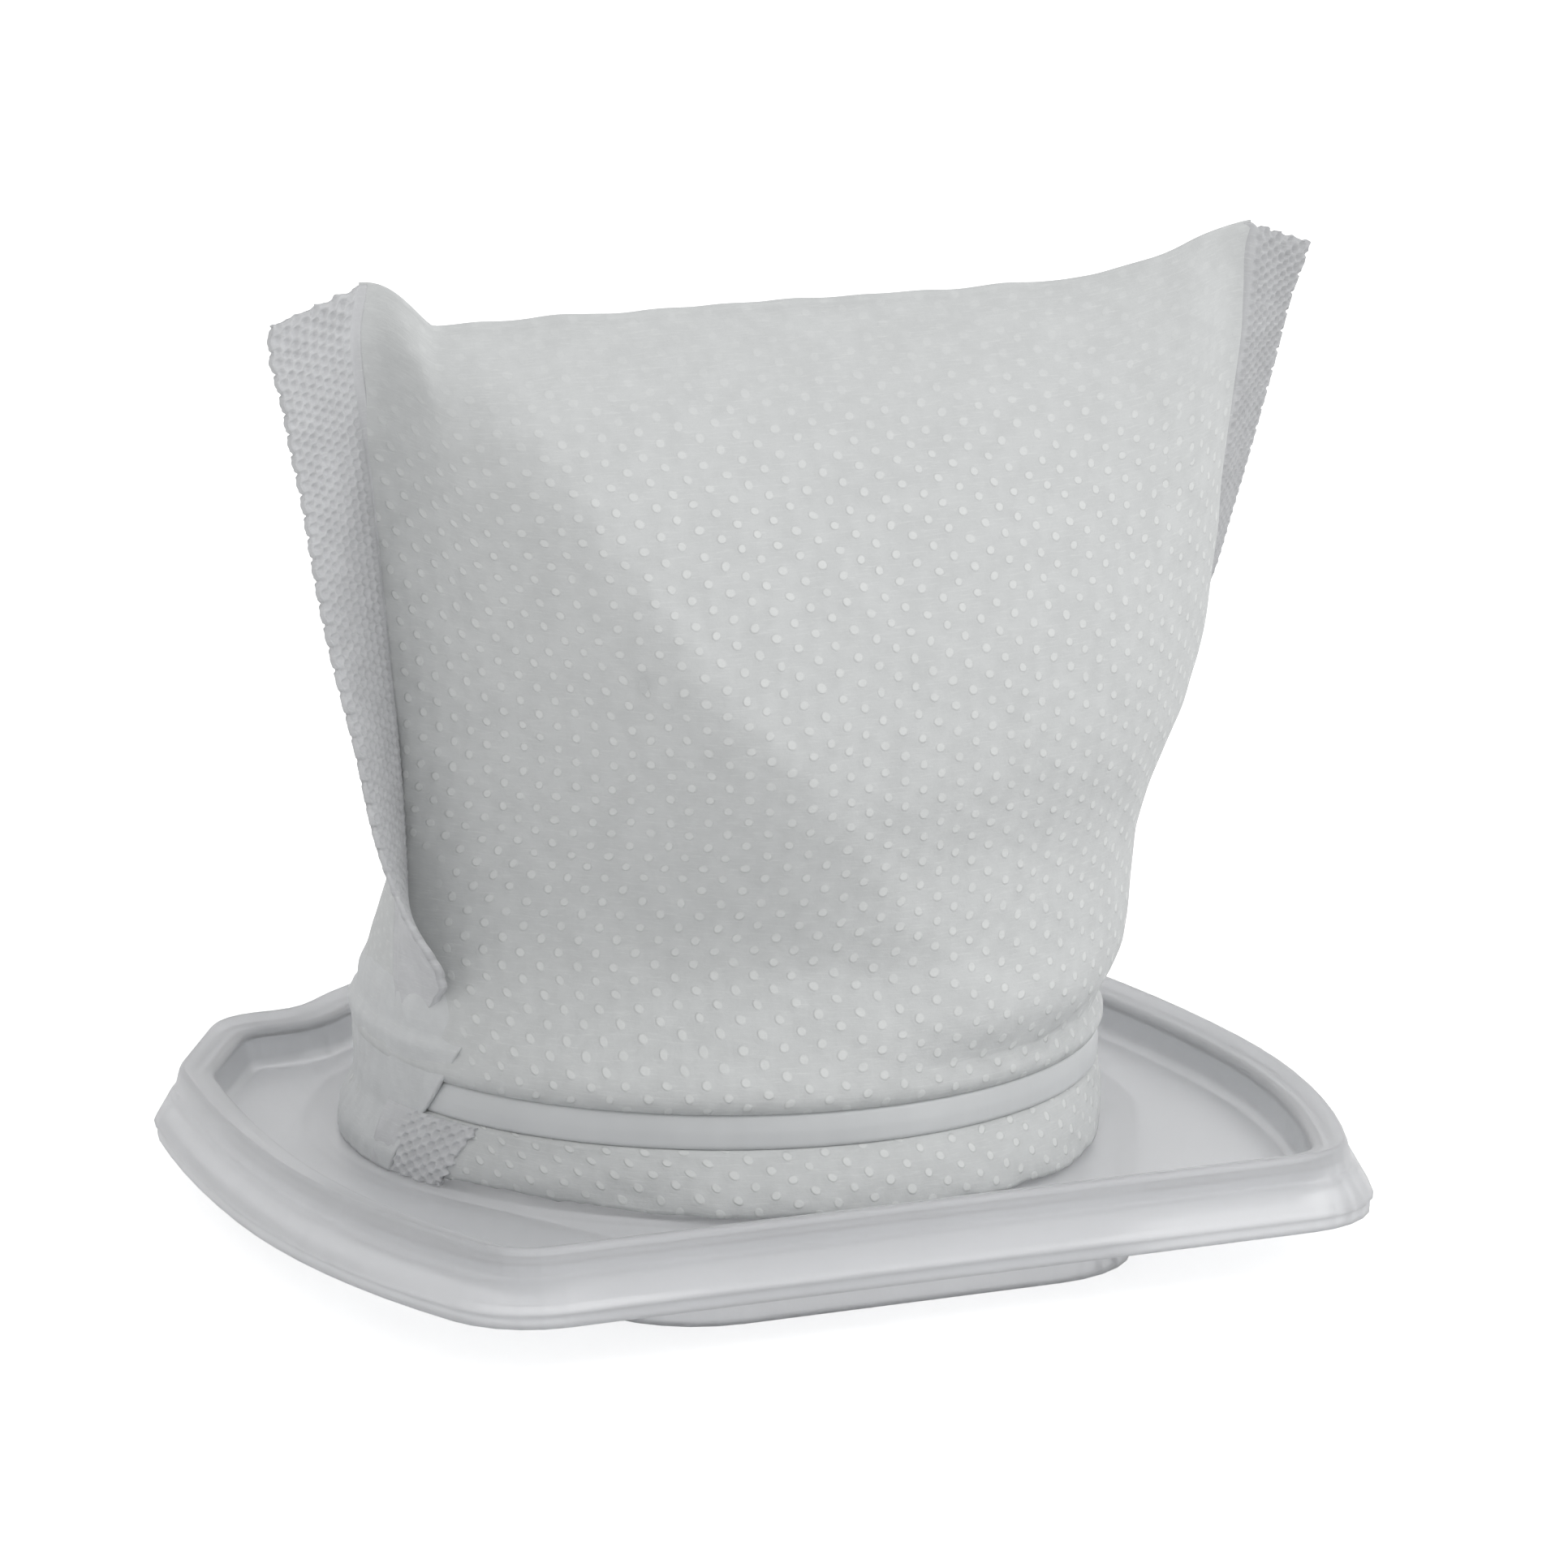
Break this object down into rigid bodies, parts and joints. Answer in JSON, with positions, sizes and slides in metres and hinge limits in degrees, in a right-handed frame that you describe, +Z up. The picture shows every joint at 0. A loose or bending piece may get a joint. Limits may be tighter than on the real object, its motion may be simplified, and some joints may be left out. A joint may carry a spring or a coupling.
{
  "type": "handheld vacuum filter",
  "caption": "Cloth dust pouch clamped on the round collar of a moulded frosted-plastic tray that seats in a handheld vacuum's dust cup.",
  "frame": {"origin": "centre of the tray's outline, on the plane that the locating wall under the tray stands on", "axes": "+Z up through the collar to the pouch, +X to the right along the tray's straight front edge, -Y towards that front edge"},
  "size_m": [0.1012, 0.1004, 0.0888],
  "materials": {
    "frosted_plastic": "satin frosted, slightly translucent",
    "nonwoven_cloth": "point-bonded non-woven",
    "band_plastic": "smooth, translucent"
  },
  "bodies": {
    "root": {"filter_tray": "frosted_plastic", "filter_pouch": "nonwoven_cloth", "clamp_band": "band_plastic"}
  },
  "joints": []
}
